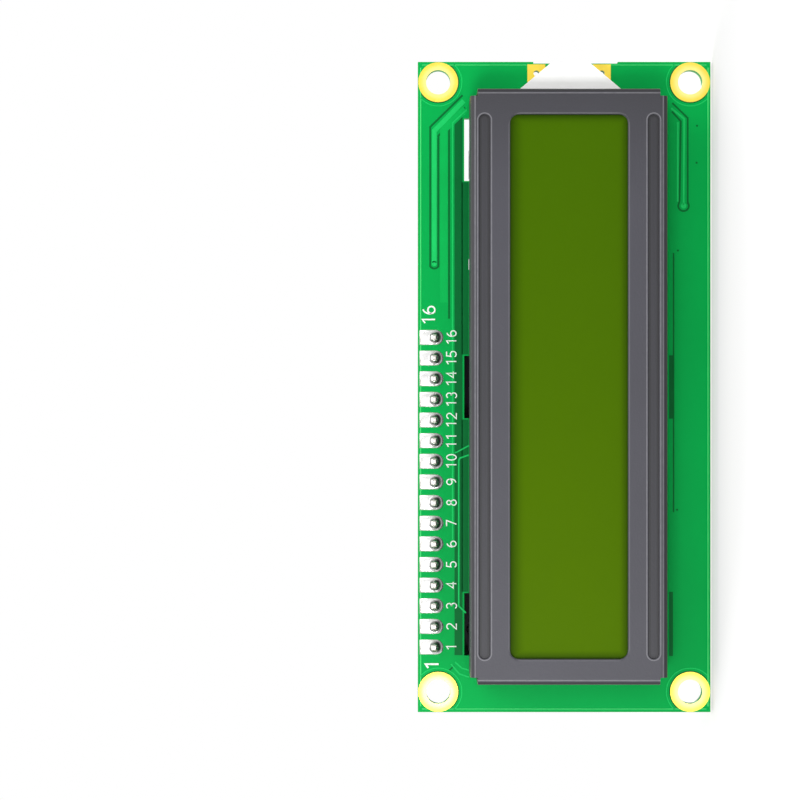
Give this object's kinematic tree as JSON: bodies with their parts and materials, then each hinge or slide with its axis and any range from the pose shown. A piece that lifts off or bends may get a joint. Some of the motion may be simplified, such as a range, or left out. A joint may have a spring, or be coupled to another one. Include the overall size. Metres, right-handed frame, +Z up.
{
  "type": "character lcd module",
  "caption": "Character display module: green board, folded dark bezel over a yellow-green display, and a black serial adapter board with trimmer and jumper behind.",
  "frame": {"origin": "centre of the four mounting holes, on the front face of the main board", "axes": "+X along the text lines to the reader's right, -Y out of the display face, +Z up"},
  "size_m": [0.08, 0.0177, 0.036],
  "materials": {
    "green_board": "green solder mask on glass laminate",
    "gold_plating": "bright gold plating",
    "solder": "tinned",
    "pin_metal": "plated pins and leads",
    "resin": "cured black resin",
    "silicon": "bare die",
    "bezel_paint": "dark satin coating",
    "glass": "clear",
    "polariser": "yellow-green film",
    "rubber_strip": "layered contact rubber",
    "diffuser": "milky film",
    "light_guide": "clear yellow-green",
    "white_plastic": "white",
    "black_plastic": "black moulding",
    "black_board": "black solder mask on glass laminate",
    "chip_black": "moulded chip case",
    "capacitor_tan": "ceramic",
    "lamp_lens": "milky lens",
    "trimmer_blue": "bright blue"
  },
  "bodies": {
    "module": {"main_board": "green_board", "mounting_hole_plating": "gold_plating", "rear_header_pads": "gold_plating", "bare_gold_pads": "gold_plating", "front_header_pads": "solder", "address_pads": "solder", "solder_link": "solder", "backlight_solder": "solder", "front_solder_joints": "solder", "rear_solder_joints": "solder", "underside_solder_joints": "solder", "main_board_resistor_ends": "solder", "adapter_resistor_ends": "solder", "adapter_capacitor_ends": "solder", "power_lamp_ends": "solder", "header_pins": "pin_metal", "output_header_pins": "pin_metal", "jumper_header_pins": "pin_metal", "trimmer_legs": "pin_metal", "expander_leads": "pin_metal", "transistor_leads": "pin_metal", "backlight_leads": "pin_metal", "controller_resin": "resin", "driver_resin": "resin", "controller_die": "silicon", "driver_die": "silicon", "bezel": "bezel_paint", "front_glass": "glass", "rear_glass": "glass", "front_polariser": "polariser", "rear_polariser": "polariser", "upper_contact_strip": "rubber_strip", "lower_contact_strip": "rubber_strip", "diffuser_film": "diffuser", "light_guide": "light_guide", "backlight_tray": "white_plastic", "backlight_lamps": "white_plastic", "board_spacer": "black_plastic", "output_header_body": "black_plastic", "jumper_header_body": "black_plastic", "adapter_board": "black_board", "expander_body": "chip_black", "transistor_body": "chip_black", "main_board_resistors": "chip_black", "adapter_resistors": "chip_black", "adapter_capacitors": "capacitor_tan", "power_lamp": "lamp_lens", "trimmer_body": "trimmer_blue"},
    "trimmer_screw": {"trimmer_rotor": "pin_metal"},
    "jumper": {"jumper_cap": "black_plastic", "jumper_clip": "pin_metal"}
  },
  "joints": [
    {"name": "trimmer_turn", "type": "hinge", "parent": "module", "child": "trimmer_screw", "pos_m": [-0.02329, 0.0105, 0.00799], "axis": [0, 1, 0], "range_deg": [-130, 130]},
    {"name": "jumper_pull", "type": "slide", "parent": "module", "child": "jumper", "axis": [1, 0, 0], "range_m": [0, 0.008]}
  ]
}
